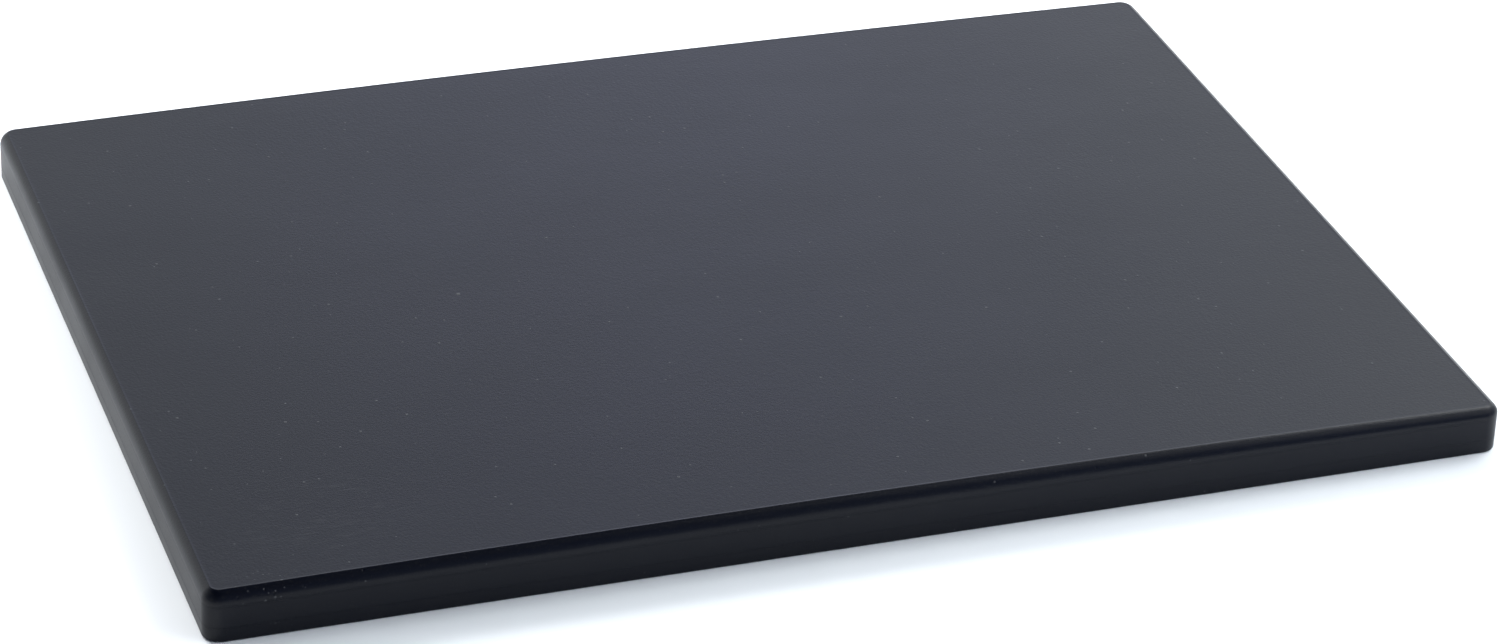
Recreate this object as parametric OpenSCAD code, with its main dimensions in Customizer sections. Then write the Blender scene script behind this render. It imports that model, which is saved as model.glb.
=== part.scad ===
// Self-healing bench mat for leatherwork: a thick five-ply board, cut square and
// routed to a rounded rim. Two self-healing face plies carry the blade and the
// punches, a thin cushion ply backs each of them, and a rigid core keeps it flat.
// Origin: centre of the underside. +X along the length, +Y along the width, +Z up.

/* [Board] */
// Length of the board, along X
board_l = 380; // [200:10:600]
// Width of the board, along Y
board_w = 280; // [150:10:450]

/* [Plies] */
// Thickness of each self-healing face ply
face_t = 4; // [3:0.5:6]
// Thickness of each cushion ply
cushion_t = 0.5; // [0.4:0.1:2]
// Thickness of the rigid core
core_t = 6; // [3:0.5:15]

/* [Edges] */
// Radius of the four upright corners, seen from above
corner_r = 5.2; // [4:0.2:12]
// Radius of the rounded top rim
rim_r = 4.1; // [2:0.1:5]
// How far down the edge the rim's round reaches; less than the radius leaves a crease at the face
rim_depth = 3.7; // [1:0.1:5]
// Radius of the small edge break around the underside
foot_r = 0.5; // [0.2:0.1:1]

/* [Hidden] */
$fn = 96;

// A round stays inside its own ply and inside the corner radius
land_t = 0.3;
top_round = min(rim_r, corner_r - land_t);
top_depth = min(rim_depth, top_round, face_t - land_t);

// Height of each ply's underside, from the bench up
lower_cushion_z = face_t;
core_z = lower_cushion_z + cushion_t;
upper_cushion_z = core_z + core_t;
top_face_z = upper_cushion_z + cushion_t;

// Places the children at the centres of the four corner arcs, each turned outwards
module at_corners() {
    quadrants = [[1, 1, 0], [-1, 1, 90], [-1, -1, 180], [1, -1, 270]];
    for (q = quadrants)
        translate([q[0] * (board_l / 2 - corner_r), q[1] * (board_w / 2 - corner_r), 0])
            rotate([0, 0, q[2]])
                children();
}

// The board seen from above: a rectangle with four round corners
module outline() {
    square([board_l - 2 * corner_r, board_w], center = true);
    square([board_l, board_w - 2 * corner_r], center = true);
    at_corners() circle(corner_r);
}

// A flat ply with square-cut edges
module plain_ply(thickness) {
    linear_extrude(thickness) outline();
}

// Right half of a ply's cross-section: half_w wide, with its top outer edge rounded.
// The round's centre lies depth below the top, so the round starts level with it.
module half_section(half_w, thickness, round_r, depth) {
    square([half_w - round_r, thickness]);
    square([half_w, thickness - depth]);
    translate([half_w - round_r, thickness - depth])
        intersection() {
            circle(round_r);
            square([round_r, depth]);
        }
}

// A full cross-section, swept along a straight length
module rounded_bar(length, width, thickness, round_r, depth) {
    rotate([90, 0, 0])
        linear_extrude(length, center = true) {
            half_section(width / 2, thickness, round_r, depth);
            mirror([1, 0]) half_section(width / 2, thickness, round_r, depth);
        }
}

// A ply whose top rim is rounded all the way round, corners included
module rounded_ply(thickness, round_r, depth) {
    rounded_bar(board_w - 2 * corner_r, board_l, thickness, round_r, depth);
    rotate([0, 0, 90])
        rounded_bar(board_l - 2 * corner_r, board_w, thickness, round_r, depth);
    at_corners()
        rotate_extrude(angle = 90) half_section(corner_r, thickness, round_r, depth);
}

// Lower self-healing ply: the mat is reversible, and this face rests on the bench
module bottom_face_ply() {
    color([0.13, 0.14, 0.16])
        translate([0, 0, face_t])
            mirror([0, 0, 1])
                rounded_ply(face_t, foot_r, foot_r);
}

module lower_cushion_ply() {
    color([0.10, 0.11, 0.12])
        translate([0, 0, lower_cushion_z])
            plain_ply(cushion_t);
}

module rigid_core() {
    color([0.12, 0.13, 0.15])
        translate([0, 0, core_z])
            plain_ply(core_t);
}

module upper_cushion_ply() {
    color([0.10, 0.11, 0.12])
        translate([0, 0, upper_cushion_z])
            plain_ply(cushion_t);
}

// Upper self-healing ply: the working face, with the rounded rim
module top_face_ply() {
    color([0.27, 0.29, 0.32])
        translate([0, 0, top_face_z])
            rounded_ply(face_t, top_round, top_depth);
}

bottom_face_ply();
lower_cushion_ply();
rigid_core();
upper_cushion_ply();
top_face_ply();
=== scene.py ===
"""Looks of a thick self-healing bench mat: five plies pressed into one board and routed round the edge."""

from math import asin, cos, pi, radians, sin, sqrt

import bpy
from mathutils import Matrix, Vector, noise


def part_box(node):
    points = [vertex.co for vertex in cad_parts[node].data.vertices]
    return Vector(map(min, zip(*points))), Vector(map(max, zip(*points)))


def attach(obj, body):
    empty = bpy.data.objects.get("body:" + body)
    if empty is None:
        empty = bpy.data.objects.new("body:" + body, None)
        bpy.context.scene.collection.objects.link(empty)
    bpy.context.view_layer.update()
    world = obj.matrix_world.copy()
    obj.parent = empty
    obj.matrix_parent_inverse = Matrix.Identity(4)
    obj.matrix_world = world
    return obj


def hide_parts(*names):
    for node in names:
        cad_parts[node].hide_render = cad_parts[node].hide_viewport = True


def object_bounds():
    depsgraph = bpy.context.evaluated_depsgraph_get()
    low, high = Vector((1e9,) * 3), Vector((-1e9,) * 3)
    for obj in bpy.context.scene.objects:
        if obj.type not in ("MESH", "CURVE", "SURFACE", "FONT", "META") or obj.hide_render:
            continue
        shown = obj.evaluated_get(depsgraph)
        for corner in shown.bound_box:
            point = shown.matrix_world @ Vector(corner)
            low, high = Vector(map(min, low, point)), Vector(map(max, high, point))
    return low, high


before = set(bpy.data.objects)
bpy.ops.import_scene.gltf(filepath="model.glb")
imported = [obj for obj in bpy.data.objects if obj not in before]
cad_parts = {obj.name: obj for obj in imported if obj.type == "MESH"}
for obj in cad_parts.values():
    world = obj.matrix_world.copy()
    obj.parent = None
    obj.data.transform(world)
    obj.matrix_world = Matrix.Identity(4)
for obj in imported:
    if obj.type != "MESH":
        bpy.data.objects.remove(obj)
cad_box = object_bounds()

MM = 0.001

# The board, as the CAD part has it
CORNER_R = 5.2 * MM
RIM_R = 4.1 * MM
RIM_DEPTH = 3.7 * MM
FOOT_R = 0.5 * MM
HALF_L = cad_box[1].x
HALF_W = cad_box[1].y

# What the making left: a raised lip where the routed rim meets the face, and a face that stands a little
# proud mid-length and low at the right end
LIP_H = 0.05 * MM
LIP_W = 0.75 * MM
LIP_SHAPE = [(0.0, 0.1), (0.12, 0.75), (0.22, 1.0), (0.34, 0.85), (0.8, 0.15), (1.0, 0.0)]  # shares of both
LIP_WANDER = 0.55
LIP_WANDER_SIZE = 14 * MM
LIP_RAGGED_SIZE = 2.8 * MM
RISE_MIDDLE = 0.75 * MM
RISE_LEFT = 0.0 * MM
RISE_RIGHT = -1.0 * MM
SEAM_BEVEL = 0.03 * MM

# How finely the pieces are cut up
CORNER_STEPS = 14
ROUND_STEPS = 22
FOOT_STEPS = 5
GRID_STEP = 9 * MM
SHARP_ABOVE = radians(28)

# Small dents in the front (-1) and back (1) rim, in millimetres: (x, side, how far down, radius, depth)
RIM_DENTS = [
    (-181.0, -1, 1.9, 0.45, 0.16),
    (-173.5, -1, 1.1, 0.35, 0.12),
    (-171.2, -1, 2.2, 0.50, 0.15),
    (-163.0, -1, 1.5, 0.40, 0.16),
    (-146.4, -1, 0.3, 0.45, 0.14),
    (-118.0, -1, 0.8, 0.35, 0.10),
    (64.0, -1, 1.4, 0.45, 0.12),
    (112.5, 1, 1.4, 0.50, 0.15),
    (-52.0, 1, 1.9, 0.40, 0.12),
]
DENT_COLUMNS = [-0.6, -0.42, -0.28, -0.14, 0, 0.14, 0.28, 0.42, 0.6]  # extra cuts beside each dent, in mm


# ---------------------------------------------------------------- mesh

def cut_points(half, dents_at):
    """Where a straight edge is cut, from -half to half: a regular step, and closer cuts at each dent."""
    steps = round(2 * half / GRID_STEP)
    regular = [-half + 2 * half * i / steps for i in range(steps + 1)]
    close = [at + offset * MM for at in dents_at for offset in DENT_COLUMNS]
    kept = [p for p in regular if all(abs(p - c) > 0.3 * MM for c in close) or abs(p) == half]
    return sorted(kept + [c for c in close if abs(c) < half])


class Outline:
    """The board's outline as one loop of points, and the grid that fills it inside the corner centres."""

    def __init__(self, dents_at):
        self.xs = cut_points(HALF_L - CORNER_R, dents_at)
        self.ys = cut_points(HALF_W - CORNER_R, [])
        self.loop = []  # (corner or edge point, outward direction, grid cell it runs in to)
        last_x, last_y = len(self.xs) - 1, len(self.ys) - 1
        corners = [(last_x, last_y), (0, last_y), (0, 0), (last_x, 0)]
        for k, cell in enumerate(corners):
            for step in range(CORNER_STEPS + 1):
                angle = (k + step / CORNER_STEPS) * pi / 2
                self.add(cell, Vector((cos(angle), sin(angle))))
            following = corners[(k + 1) % 4]
            outward = Vector((round(cos((k + 1) * pi / 2)), round(sin((k + 1) * pi / 2))))
            for between in self.cells_between(cell, following):
                self.add(between, outward)

    def add(self, cell, outward):
        self.loop.append((Vector((self.xs[cell[0]], self.ys[cell[1]])), outward, cell))

    @staticmethod
    def cells_between(a, b):
        """The grid cells on the boundary strictly between two corners."""
        count = max(abs(b[0] - a[0]), abs(b[1] - a[1]))
        step = ((b[0] - a[0]) // count, (b[1] - a[1]) // count)
        return [(a[0] + step[0] * n, a[1] + step[1] * n) for n in range(1, count)]

    def ring(self, inset, z):
        """The outline moved in by inset, at height z, with the outward direction at each point."""
        reach = CORNER_R - inset
        return [Vector((*(at + outward * reach), z)) for at, outward, _ in self.loop]


def close_cap(verts, faces, outline, ring_start, z, facing_up):
    """Fills the last ring with a grid of quads, fanned at the round corners."""
    columns, rows = len(outline.xs), len(outline.ys)
    first = len(verts)
    verts.extend(Vector((x, y, z)) for y in outline.ys for x in outline.xs)

    def grid(cell):
        return first + cell[1] * columns + cell[0]

    def add(face):
        faces.append(face if facing_up else face[::-1])

    for j in range(rows - 1):
        for i in range(columns - 1):
            add([grid((i, j)), grid((i + 1, j)), grid((i + 1, j + 1)), grid((i, j + 1))])
    count = len(outline.loop)
    for n in range(count):
        after = (n + 1) % count
        inner, inner_after = grid(outline.loop[n][2]), grid(outline.loop[after][2])
        outer, outer_after = ring_start + n, ring_start + after
        if inner == inner_after:
            add([outer, outer_after, inner])
        else:
            add([outer, outer_after, inner_after, inner])


def loft_ply(name, outline, profile, low_z, high_z):
    """A closed ply: a ring for each (inset, z) of its edge profile, and a grid over each face."""
    verts, faces = [], []
    count = len(outline.loop)
    for inset, z in profile:
        verts.extend(outline.ring(inset, z))
    for level in range(len(profile) - 1):
        for n in range(count):
            after = (n + 1) % count
            low, high = level * count, (level + 1) * count
            faces.append([low + n, low + after, high + after, high + n])
    top_ring = (len(profile) - 1) * count
    close_cap(verts, faces, outline, 0, low_z, facing_up=False)
    close_cap(verts, faces, outline, top_ring, high_z, facing_up=True)
    mesh = bpy.data.meshes.new(name)
    mesh.from_pydata([v[:] for v in verts], [], faces)
    mesh.validate()
    mesh.shade_smooth()
    mesh.set_sharp_from_angle(angle=SHARP_ABOVE)
    piece = bpy.data.objects.new(name, mesh)
    bpy.context.scene.collection.objects.link(piece)
    return piece


def seam_edge(low_z, high_z):
    """A square-cut edge with a hairline bevel at each seam."""
    return [
        (SEAM_BEVEL, low_z),
        (0, low_z + SEAM_BEVEL),
        (0, high_z - SEAM_BEVEL),
        (SEAM_BEVEL, high_z),
    ]


def foot_edge(low_z, high_z):
    """The underside's small round, then straight up to the seam."""
    rounded = []
    for step in range(FOOT_STEPS + 1):
        angle = step / FOOT_STEPS * pi / 2
        rounded.append((FOOT_R * (1 - sin(angle)), low_z + FOOT_R * (1 - cos(angle))))
    return [(2 * FOOT_R, low_z)] + rounded + [(0, high_z - SEAM_BEVEL), (SEAM_BEVEL, high_z)]


def rim_edge(low_z, high_z):
    """Up from the seam, round the rim's arc, and over the raised lip on to the face."""
    edge = [(SEAM_BEVEL, low_z), (0, low_z + SEAM_BEVEL)]
    arc_end = asin(RIM_DEPTH / RIM_R)
    for step in range(ROUND_STEPS):
        angle = step / ROUND_STEPS * arc_end
        edge.append((RIM_R * (1 - cos(angle)), high_z - RIM_DEPTH + RIM_R * sin(angle)))
    crease = RIM_R * (1 - cos(arc_end))
    for share, rise in LIP_SHAPE:
        edge.append((crease + share * LIP_W, high_z + rise * LIP_H))
    edge.append((crease + 1.2 * LIP_W, high_z))
    return edge


def roughen_lip(piece, high_z):
    """Lets the lip rise and fall along the rim, as a hand-guided cutter leaves it."""
    for vert in piece.data.vertices:
        above = vert.co.z - high_z
        if above > 0:
            wander = noise.noise(vert.co / LIP_WANDER_SIZE)
            wander += 0.5 * noise.noise(vert.co / LIP_RAGGED_SIZE)
            vert.co.z = high_z + above * (1 + LIP_WANDER * wander)


def crown_face(piece, low_z, high_z):
    """Raises or lowers the face along its length, leaving the seam where it is."""
    tilt = (RISE_RIGHT - RISE_LEFT) / 2
    bow = (RISE_RIGHT + RISE_LEFT) / 2 - RISE_MIDDLE
    for vert in piece.data.vertices:
        along = vert.co.x / HALF_L
        rise = RISE_MIDDLE + tilt * along + bow * along * along
        vert.co.z += rise * (vert.co.z - low_z) / (high_z - low_z)


def dent_rim(piece, high_z):
    """Presses each small dent into the rim, towards the board's inside."""
    for x, side, down, radius, depth in RIM_DENTS:
        above_arc_centre = RIM_DEPTH - down * MM
        out = HALF_W - RIM_R + sqrt(RIM_R**2 - above_arc_centre**2)
        centre = Vector((x * MM, side * out, high_z - down * MM))
        inward = Vector((0, -side, -0.7)).normalized()
        for vert in piece.data.vertices:
            gap = (vert.co - centre).length / (radius * MM)
            if gap < 1:
                vert.co += inward * depth * MM * (1 - gap * gap) ** 2


# ---------------------------------------------------------------- materials

class Nodes:
    """Short calls for building one node tree."""

    def __init__(self, tree):
        self.tree = tree

    def add(self, kind, **settings):
        node = self.tree.nodes.new(kind)
        for key, value in settings.items():
            setattr(node, key, value)
        return node

    def join(self, out, into):
        self.tree.links.new(out, into)

    def math(self, operation, a, b):
        node = self.add("ShaderNodeMath", operation=operation)
        for socket, value in zip(node.inputs, (a, b)):
            if isinstance(value, (int, float)):
                socket.default_value = value
            else:
                self.join(value, socket)
        return node.outputs[0]

    def ramp(self, value, stops, smooth=True):
        """A colour ramp; each stop is (position, grey) or (position, (r, g, b))."""
        node = self.add("ShaderNodeValToRGB")
        node.color_ramp.interpolation = "EASE" if smooth else "LINEAR"
        elements = node.color_ramp.elements
        while len(elements) < len(stops):
            elements.new(0.5)
        for element, (position, colour) in zip(elements, stops):
            element.position = position
            rgb = (colour,) * 3 if isinstance(colour, (int, float)) else colour
            element.color = (*rgb, 1)
        self.join(value, node.inputs[0])
        return node.outputs["Color"]

    def noise(self, where, scale, detail=2.0, rough=0.5):
        node = self.add("ShaderNodeTexNoise")
        node.inputs["Scale"].default_value = scale
        node.inputs["Detail"].default_value = detail
        node.inputs["Roughness"].default_value = rough
        self.join(where, node.inputs["Vector"])
        return node.outputs["Fac"]

    def stretch(self, where, scale):
        node = self.add("ShaderNodeMapping")
        node.inputs["Scale"].default_value = scale
        self.join(where, node.inputs["Vector"])
        return node.outputs["Vector"]

    def mix(self, amount, a, b, kind="MIX"):
        node = self.add("ShaderNodeMix", data_type="RGBA", blend_type=kind)
        for name, value in (("Factor", amount), ("A", a), ("B", b)):
            socket = node.inputs[name]
            if isinstance(value, (int, float)):
                socket.default_value = value
            elif isinstance(value, tuple):
                socket.default_value = (*value, 1)
            else:
                self.join(value, socket)
        return node.outputs["Result"]

    def remap(self, value, low, high, to_low, to_high):
        node = self.add("ShaderNodeMapRange")
        limits = {"From Min": low, "From Max": high, "To Min": to_low, "To Max": to_high}
        for name, number in limits.items():
            node.inputs[name].default_value = number
        self.join(value, node.inputs["Value"])
        return node.outputs["Result"]

    def specks(self, where, per_metre, size, share):
        """1 inside sparse round specks, of radius up to size, else 0. share is how many cells hold one."""
        node = self.add("ShaderNodeTexVoronoi", feature="F1")
        node.inputs["Scale"].default_value = per_metre
        self.join(where, node.inputs["Vector"])
        pick = self.add("ShaderNodeSeparateColor")
        self.join(node.outputs["Color"], pick.inputs[0])
        chosen = self.math("LESS_THAN", pick.outputs[0], share)
        radius = self.math("MULTIPLY", self.remap(pick.outputs[1], 0, 1, 0.4, 1.0), size * per_metre)
        close = self.math("DIVIDE", node.outputs["Distance"], radius)
        dot = self.remap(close, 0.6, 1.0, 1.0, 0.0)
        return self.math("MULTIPLY", dot, chosen)


# Scales of the noises in a ply's material, per metre
CLOUD_SCALE = 9
FLECK_SCALE = 1500
SMEAR_SCALE = 14
FINE_SCALE = 1500
GRAIN_SCALE = 1300
RIPPLE_SCALE = 240
CUT_LINES = (25, 25, 2400)
SCRATCH_LINES = (170, 800, 300)

GRAIN_DEPTH = 0.048 * MM
RIPPLE_DEPTH = 0.010 * MM
SPECK_HEIGHT = 0.03 * MM

SHEEN_LEVEL = 0.2
FLECK_COLOUR = (0.013, 0.0135, 0.014)
# Pale colour of dust, lint and scratches, and of the painted glints of the rim nicks
SPECK_COLOUR = (0.16, 0.165, 0.17)

# Where the working face shows scratches, and where pale specks are painted on the rim as the glints of its
# nicks (painted highlights), as (centre, radius)
SCRATCHED = ((-150 * MM, -108 * MM, 15 * MM), 34 * MM)
# The patch of rim where pale specks are painted as the glints of its nicks: painted highlights
NICK_GLINTS = ((-171 * MM, -141 * MM, 13 * MM), 13 * MM)


def patch(n, where, centre, radius):
    """1 at the centre, falling to 0 at the radius."""
    reach = n.add("ShaderNodeVectorMath", operation="DISTANCE")
    n.join(where, reach.inputs[0])
    reach.inputs[1].default_value = centre
    return n.remap(reach.outputs["Value"], 0.35 * radius, radius, 1.0, 0.0)


def wear_and_nick_glints(n, where):
    """Short fine scratches near one corner, and pale specks beside it on the rim, painted as the glints of
    its small nicks (painted highlights).
    """
    strokes = n.noise(n.stretch(where, SCRATCH_LINES), 1.0, detail=3, rough=0.6)
    scratches = n.math("MULTIPLY", n.remap(strokes, 0.55, 0.65, 0, 1), patch(n, where, *SCRATCHED))
    # Pale specks painted on the rim as the glints of its nicks: painted highlights, not a colour of the
    # plastic
    nick_glints = n.math("MULTIPLY", n.specks(where, 700, 0.45 * MM, 0.5), patch(n, where, *NICK_GLINTS))
    return n.math("MAXIMUM", n.math("MULTIPLY", scratches, 0.13), nick_glints)


def ply_material(name, base, dark_share, roughness, streaks, dusty, with_wear_and_glints=False):
    """Moulded dark plastic: clouded and flecked, unevenly glossy, grained, with cutter streaks and dust."""
    material = bpy.data.materials.new(name)
    material.use_nodes = True
    n = Nodes(material.node_tree)
    shader = n.tree.nodes["Principled BSDF"]
    shader.inputs["IOR"].default_value = 1.5
    shader.inputs["Specular IOR Level"].default_value = SHEEN_LEVEL
    where = n.add("ShaderNodeTexCoord").outputs["Object"]
    facing = n.add("ShaderNodeSeparateXYZ")
    n.join(n.add("ShaderNodeNewGeometry").outputs["Normal"], facing.inputs[0])
    upright = n.math("SUBTRACT", 1.0, n.math("ABSOLUTE", facing.outputs["Z"], 0))

    cloud = n.noise(where, CLOUD_SCALE, detail=4)
    fleck = n.noise(where, FLECK_SCALE, detail=2, rough=0.6)
    darker = tuple(c * dark_share for c in base)
    colour = n.mix(n.remap(cloud, 0.3, 0.7, 0, 1), darker, base)
    colour = n.mix(n.remap(fleck, 0.55, 0.75, 0, 0.6), colour, FLECK_COLOUR)
    dust = n.specks(where, 190, 0.5 * MM, dusty)
    lint = n.specks(where, 60, 0.75 * MM, 0.6 * dusty)
    speck = n.math("MAXIMUM", dust, lint)
    # Scratches, and pale specks painted on the rim as the glints of its nicks (painted highlights)
    if with_wear_and_glints:
        speck = n.math("MAXIMUM", speck, wear_and_nick_glints(n, where))
    # Dust and lint take the pale speck colour, and on the working face so do the scratches and the painted
    # glints of the rim nicks
    colour = n.mix(n.math("MULTIPLY", speck, 0.27), colour, SPECK_COLOUR)
    n.join(colour, shader.inputs["Base Color"])

    smear = n.noise(n.stretch(where, (1.0, 2.2, 1.0)), SMEAR_SCALE, detail=5, rough=0.6)
    fine = n.noise(where, FINE_SCALE, detail=2)
    gloss = n.math("ADD", n.remap(smear, 0.3, 0.75, -0.02, 0.03), n.remap(fine, 0.3, 0.7, -0.02, 0.02))
    gloss = n.math("ADD", gloss, n.math("MULTIPLY", upright, 0.03))
    gloss = n.math("ADD", gloss, n.math("MULTIPLY", speck, 0.2))
    n.join(n.math("ADD", gloss, roughness), shader.inputs["Roughness"])

    grain = n.noise(where, GRAIN_SCALE, detail=2, rough=0.6)
    ripple = n.noise(where, RIPPLE_SCALE, detail=2)
    relief = n.math("MULTIPLY", grain, GRAIN_DEPTH)
    relief = n.math("ADD", relief, n.math("MULTIPLY", ripple, RIPPLE_DEPTH))
    moulded = n.remap(upright, 0, 1, 1.0, 0.2)
    lines = n.noise(n.stretch(where, CUT_LINES), 1.0, detail=3, rough=0.65)
    cut = n.math("MULTIPLY", n.math("MULTIPLY", lines, upright), streaks)
    height = n.math("ADD", n.math("MULTIPLY", relief, moulded), cut)
    height = n.math("ADD", height, n.math("MULTIPLY", speck, SPECK_HEIGHT))
    bump = n.add("ShaderNodeBump")
    bump.inputs["Strength"].default_value = 1.0
    bump.inputs["Distance"].default_value = 1.0
    n.join(height, bump.inputs["Height"])
    n.join(bump.outputs["Normal"], shader.inputs["Normal"])
    return material


# ---------------------------------------------------------------- the board

FACE_COLOUR = (0.0018, 0.0027, 0.0068)
CORE_COLOUR = (0.0018, 0.0027, 0.0067)
CUSHION_COLOUR = (0.0017, 0.0026, 0.0065)

face_material = ply_material("self_healing_face", FACE_COLOUR, 0.8, 0.33, 0.002 * MM, 0.8, with_wear_and_glints=True)
core_material = ply_material("rigid_core", CORE_COLOUR, 0.85, 0.35, 0.003 * MM, 0.3)
cushion_material = ply_material("soft_cushion", CUSHION_COLOUR, 0.85, 0.37, 0.003 * MM, 0.2)

# piece, CAD node it stands for, material slot, material, shape of its edge
PLIES = [
    ("reverse_face_layer", "bottom_face_ply", "face_ply", face_material, foot_edge),
    ("lower_cushion_layer", "lower_cushion_ply", "cushion_ply", cushion_material, seam_edge),
    ("rigid_core_layer", "rigid_core", "core", core_material, seam_edge),
    ("upper_cushion_layer", "upper_cushion_ply", "cushion_ply", cushion_material, seam_edge),
    ("working_face_layer", "top_face_ply", "face_ply", face_material, rim_edge),
]


def build_board():
    """Stands each ply's mesh in for its CAD node."""
    plain = Outline([])
    dented = Outline([dent[0] * MM for dent in RIM_DENTS])
    for name, node, slot, material, edge in PLIES:
        low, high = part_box(node)
        top_ply = edge is rim_edge
        piece = loft_ply(name, dented if top_ply else plain, edge(low.z, high.z), low.z, high.z)
        if top_ply:
            roughen_lip(piece, high.z)
            dent_rim(piece, high.z)
            crown_face(piece, low.z, high.z)
        piece.data.materials.append(material)
        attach(piece, "root")
        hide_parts(node)


build_board()


# ---------------------------------------------------------------- studio

FLOOR_SIZE = 12.0
FLOOR_COLOUR = (0.835, 0.86, 0.88)
FLOOR_DROP = 0.1 * MM

# The surround's light, as stops of (share of the way, brightness)
WORLD_STRENGTH = 1.68
BY_HEIGHT = [  # from level to straight up
    (0.0, 1.0),
    (0.43, 1.0),
    (0.49, 0.88),
    (0.56, 0.75),
    (0.64, 0.62),
    (0.79, 0.05),
    (0.92, 0.01),
]
BY_DEPTH = [  # from in front of the board to behind it
    (0.0, (0.13, 0.15, 0.21)),
    (0.45, (0.20, 0.23, 0.29)),
    (0.85, 1.0),
]
BY_SIDE = [  # from left to right
    (0.25, (0.76, 0.78, 0.79)),
    (0.48, (0.84, 0.87, 0.88)),
    (0.58, (0.73, 0.77, 0.80)),
    (0.65, (0.92, 0.96, 1.26)),
    (0.71, (0.93, 0.98, 1.01)),
    (0.90, (1.08, 1.14, 1.18)),
]

# name, place, aimed at, size, power, colour, seen in reflections
WHITE = (1, 1, 1)
COOL = (0.95, 0.98, 1)
LAMPS = [
    ("back_key", (-0.55, 1.35, 1.0), (0, 0, 0), 0.9, 51, WHITE, False),
    ("overhead_fill", (0.6, -0.4, 1.5), (0, -0.1, 0), 1.8, 7, WHITE, False),
    ("front_fill", (0.95, -0.75, 0.5), (0.1, -0.15, 0), 0.7, 7, (0.88, 0.94, 1), False),
    ("right_softbox", (0.56, 0.10, 0.62), (0.15, -0.1, 0), 0.42, 4.2, COOL, True),
    ("right_overhead", (0.75, -0.45, 0.75), (0.15, -0.1, 0), 0.8, 2.8, COOL, True),
]


def make_floor():
    """A wide pale sheet just under the board."""
    half = FLOOR_SIZE / 2
    mesh = bpy.data.meshes.new("floor")
    corners = [(-half, -half, 0), (half, -half, 0), (half, half, 0), (-half, half, 0)]
    mesh.from_pydata(corners, [], [(0, 1, 2, 3)])
    floor = bpy.data.objects.new("floor", mesh)
    floor.location.z = -FLOOR_DROP
    bpy.context.scene.collection.objects.link(floor)
    material = bpy.data.materials.new("pale_floor")
    material.use_nodes = True
    n = Nodes(material.node_tree)
    shader = n.tree.nodes["Principled BSDF"]
    shader.inputs["Roughness"].default_value = 0.9
    shader.inputs["Specular IOR Level"].default_value = 0.1
    where = n.add("ShaderNodeTexCoord").outputs["Object"]
    tone = n.remap(n.noise(where, 3, detail=3), 0.3, 0.7, 0.98, 1.0)
    n.join(n.mix(1.0, FLOOR_COLOUR, tone, kind="MULTIPLY"), shader.inputs["Base Color"])
    mesh.materials.append(material)


def make_world():
    """A soft studio surround: bright behind the board, dark overhead, dimmer in front."""
    world = bpy.data.worlds.new("studio")
    world.use_nodes = True
    bpy.context.scene.world = world
    n = Nodes(world.node_tree)
    background = n.tree.nodes["Background"]
    towards = n.add("ShaderNodeSeparateXYZ")
    n.join(n.add("ShaderNodeTexCoord").outputs["Generated"], towards.inputs[0])
    by_height = n.ramp(towards.outputs["Z"], BY_HEIGHT, smooth=False)
    by_depth = n.ramp(n.remap(towards.outputs["Y"], -1, 1, 0, 1), BY_DEPTH)
    by_side = n.ramp(n.remap(towards.outputs["X"], -1, 1, 0, 1), BY_SIDE)
    light = n.mix(1.0, by_height, by_depth, kind="MULTIPLY")
    light = n.mix(1.0, light, by_side, kind="MULTIPLY")
    n.join(light, background.inputs["Color"])
    background.inputs["Strength"].default_value = WORLD_STRENGTH


def area_light(name, place, aim, size, power, colour, in_reflections):
    """A square soft panel. One that isn't seen in reflections only fills the floor and the shadows."""
    lamp = bpy.data.lights.new(name, "AREA")
    lamp.shape = "SQUARE"
    lamp.size = size
    lamp.energy = power
    lamp.color = colour
    light = bpy.data.objects.new(name, lamp)
    light.location = place
    light.rotation_euler = (Vector(aim) - Vector(place)).to_track_quat("-Z", "Y").to_euler()
    light.visible_glossy = in_reflections
    bpy.context.scene.collection.objects.link(light)


def make_camera():
    """A long lens from the front left, looking down at the board."""
    azimuth, elevation, roll = radians(-19.83), radians(29.31), radians(2.31)
    distance = 1.474
    aim = Vector((5.6 * MM, -12.1 * MM, 0))
    back = Vector((sin(azimuth) * cos(elevation), -cos(azimuth) * cos(elevation), sin(elevation)))
    level = Vector((cos(azimuth), sin(azimuth), 0))
    upward = back.cross(level)
    right = cos(roll) * level + sin(roll) * upward
    up = cos(roll) * upward - sin(roll) * level
    lens = bpy.data.cameras.new("camera")
    lens.sensor_width = 36
    lens.lens = 118.8
    lens.clip_start = 0.01
    camera = bpy.data.objects.new("camera", lens)
    turn = Matrix((right, up, back)).transposed()
    camera.matrix_world = Matrix.Translation(aim + back * distance) @ turn.to_4x4()
    bpy.context.scene.collection.objects.link(camera)
    bpy.context.scene.camera = camera


make_floor()
make_world()
for lamp in LAMPS:
    area_light(*lamp)
make_camera()
bpy.context.scene.view_settings.view_transform = "Standard"
